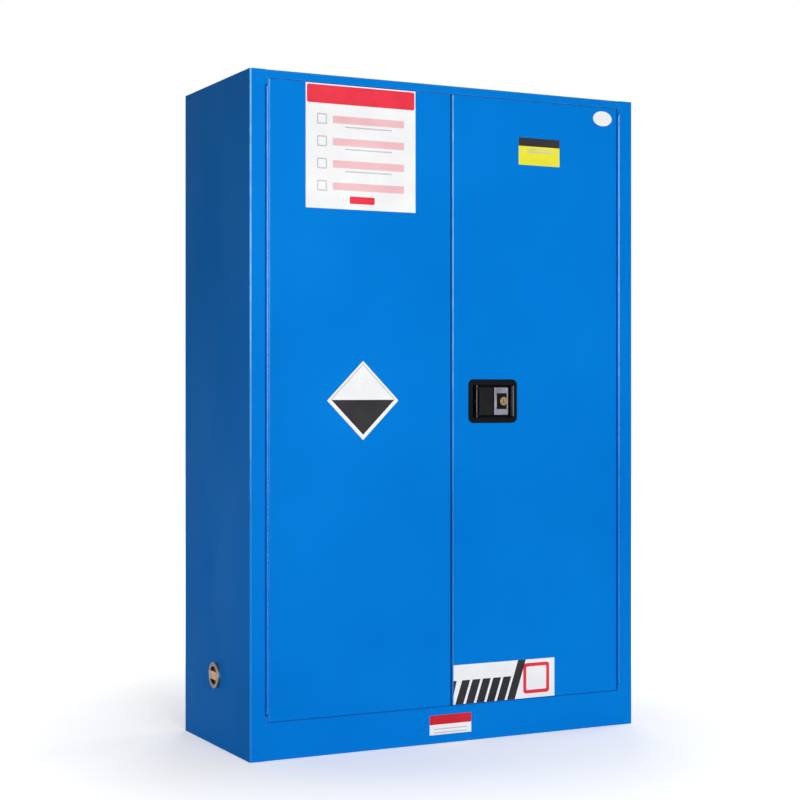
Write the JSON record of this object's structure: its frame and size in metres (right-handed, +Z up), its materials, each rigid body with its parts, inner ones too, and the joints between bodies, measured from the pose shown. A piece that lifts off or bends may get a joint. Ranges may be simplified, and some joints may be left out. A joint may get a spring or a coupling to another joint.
{
  "type": "chemical safety cabinet",
  "caption": "Tall blue steel safety cabinet with hollow hinged doors, recessed pull handle with key lock, rod latch, shelves, sump, side vents and levelling feet.",
  "frame": {"origin": "middle of the flat underside, on the floor", "axes": "+X to the right seen from the doors, +Y from the doors to the back, +Z up"},
  "size_m": [1.118, 0.4575, 1.65],
  "materials": {
    "body_paint": "fine-textured powder coat, mid blue",
    "door_paint": "fine-textured powder coat, mid blue",
    "inner_paint": "powder coat, mid blue",
    "sump_paint": "thick powder coat, mid blue",
    "zinc_steel": "zinc plated",
    "shelf_steel": "galvanised",
    "hinge_paint": "powder coat, mid blue",
    "pin_steel": "bright drawn steel",
    "latch_steel": "zinc plated",
    "dish_plastic": "fine matt grain, black",
    "paddle_plastic": "fine matt grain, black",
    "housing_chrome": "satin chrome round a black window",
    "lock_brass": "turned",
    "cap_brass": "turned",
    "collar_steel": "turned steel",
    "arrester_brass": "drilled",
    "ground_brass": "threaded",
    "ground_steel": "zinc plated",
    "foot_steel": "zinc plated over a dark pad",
    "left_labels": "plain printed film, no words",
    "right_labels": "plain printed film, no words",
    "sill_label": "plain printed film, no words"
  },
  "bodies": {
    "cabinet": {"left_side_panel": "body_paint", "right_side_panel": "body_paint", "back_panel": "body_paint", "top_panel": "body_paint", "base_panel": "body_paint", "front_sill": "body_paint", "liner_left": "inner_paint", "liner_right": "inner_paint", "liner_back": "inner_paint", "liner_top": "inner_paint", "sump_tray": "sump_paint", "foot_brackets": "zinc_steel", "vent_collar_left": "collar_steel", "vent_collar_right": "collar_steel", "flame_arresters": "arrester_brass", "ground_stud": "ground_brass", "ground_hardware": "ground_steel", "shelf_standard_front_left": "zinc_steel", "shelf_standard_front_right": "zinc_steel", "shelf_standard_rear_left": "zinc_steel", "shelf_standard_rear_right": "zinc_steel", "shelf_hooks": "zinc_steel", "left_hinge_frame_leaf": "hinge_paint", "right_hinge_frame_leaf": "hinge_paint", "left_hinge_pin": "pin_steel", "right_hinge_pin": "pin_steel", "top_strike_plate": "zinc_steel", "bottom_strike_plate": "zinc_steel", "sill_label": "sill_label"},
    "left_door": {"left_door_skin": "door_paint", "left_door_inner_pan": "inner_paint", "left_hinge_door_leaf": "hinge_paint", "centre_strike": "zinc_steel", "left_door_labels": "left_labels"},
    "right_door": {"right_door_skin": "door_paint", "right_door_inner_pan": "inner_paint", "right_hinge_door_leaf": "hinge_paint", "handle_dish": "dish_plastic", "cam_strike": "pin_steel", "dish_clamps": "zinc_steel", "paddle_pin": "pin_steel", "latch_pivot": "zinc_steel", "rod_guides": "zinc_steel", "right_door_labels": "right_labels"},
    "paddle": {"paddle": "paddle_plastic", "lock_housing": "housing_chrome"},
    "key_plug": {"key_plug": "lock_brass", "lock_cam": "latch_steel"},
    "latch_rotor": {"latch_rotor": "latch_steel"},
    "centre_bolt": {"centre_bolt": "latch_steel"},
    "top_rod": {"top_rod": "latch_steel"},
    "bottom_rod": {"bottom_rod": "latch_steel"},
    "upper_shelf": {"upper_shelf": "shelf_steel"},
    "lower_shelf": {"lower_shelf": "shelf_steel"},
    "vent_cap_left": {"vent_cap_left": "cap_brass"},
    "vent_cap_right": {"vent_cap_right": "cap_brass"},
    "levelling_foot_front_left": {"levelling_foot_front_left": "foot_steel"},
    "levelling_foot_front_right": {"levelling_foot_front_right": "foot_steel"},
    "levelling_foot_rear_left": {"levelling_foot_rear_left": "foot_steel"},
    "levelling_foot_rear_right": {"levelling_foot_rear_right": "foot_steel"}
  },
  "joints": [
    {"name": "left_door_hinge", "type": "hinge", "parent": "cabinet", "child": "left_door", "pos_m": [-0.5011, -0.229, 0.857], "axis": [0, 0, -1], "range_deg": [0, 170]},
    {"name": "right_door_hinge", "type": "hinge", "parent": "cabinet", "child": "right_door", "pos_m": [0.5011, -0.229, 0.857], "axis": [0, 0, 1], "range_deg": [0, 170]},
    {"name": "paddle_pull", "type": "hinge", "parent": "right_door", "child": "paddle", "pos_m": [0.0755, -0.218, 0.857], "axis": [0, 0, -1], "range_deg": [0, 35], "stiffness_Nm_per_rad": 0.8, "springref_deg": -20.05},
    {"name": "key_turn", "type": "hinge", "parent": "paddle", "child": "key_plug", "pos_m": [0.1507, -0.22, 0.857], "axis": [0, -1, 0], "range_deg": [0, 90]},
    {"name": "rotor_turn", "type": "hinge", "parent": "right_door", "child": "latch_rotor", "pos_m": [0.1195, -0.193, 0.857], "axis": [0, 1, 0], "range_deg": [0, 35.1]},
    {"name": "centre_bolt_slide", "type": "slide", "parent": "right_door", "child": "centre_bolt", "axis": [1, 0, 0], "range_m": [0, 0.0121]},
    {"name": "top_rod_slide", "type": "slide", "parent": "right_door", "child": "top_rod", "axis": [0, 0, -1], "range_m": [0, 0.0121]},
    {"name": "bottom_rod_slide", "type": "slide", "parent": "right_door", "child": "bottom_rod", "axis": [0, 0, 1], "range_m": [0, 0.0121]},
    {"name": "upper_shelf_lift", "type": "slide", "parent": "cabinet", "child": "upper_shelf", "axis": [0, 0, 1], "range_m": [0, 0.06]},
    {"name": "lower_shelf_lift", "type": "slide", "parent": "cabinet", "child": "lower_shelf", "axis": [0, 0, 1], "range_m": [0, 0.06]},
    {"name": "left_vent_cap_pull", "type": "slide", "parent": "cabinet", "child": "vent_cap_left", "axis": [-1, 0, 0], "range_m": [0, 0.06]},
    {"name": "right_vent_cap_pull", "type": "slide", "parent": "cabinet", "child": "vent_cap_right", "axis": [1, 0, 0], "range_m": [0, 0.06]},
    {"name": "front_left_foot_level", "type": "slide", "parent": "cabinet", "child": "levelling_foot_front_left", "axis": [0, 0, 1], "range_m": [-0.015, 0]},
    {"name": "front_right_foot_level", "type": "slide", "parent": "cabinet", "child": "levelling_foot_front_right", "axis": [0, 0, 1], "range_m": [-0.015, 0]},
    {"name": "rear_left_foot_level", "type": "slide", "parent": "cabinet", "child": "levelling_foot_rear_left", "axis": [0, 0, 1], "range_m": [-0.015, 0]},
    {"name": "rear_right_foot_level", "type": "slide", "parent": "cabinet", "child": "levelling_foot_rear_right", "axis": [0, 0, 1], "range_m": [-0.015, 0]}
  ],
  "couplings": [
    {"joint": "rotor_turn", "follows": "paddle_pull", "ratio": 1},
    {"joint": "centre_bolt_slide", "follows": "paddle_pull", "m_per_rad": 0.019718},
    {"joint": "top_rod_slide", "follows": "paddle_pull", "m_per_rad": 0.019718},
    {"joint": "bottom_rod_slide", "follows": "paddle_pull", "m_per_rad": 0.019718}
  ]
}
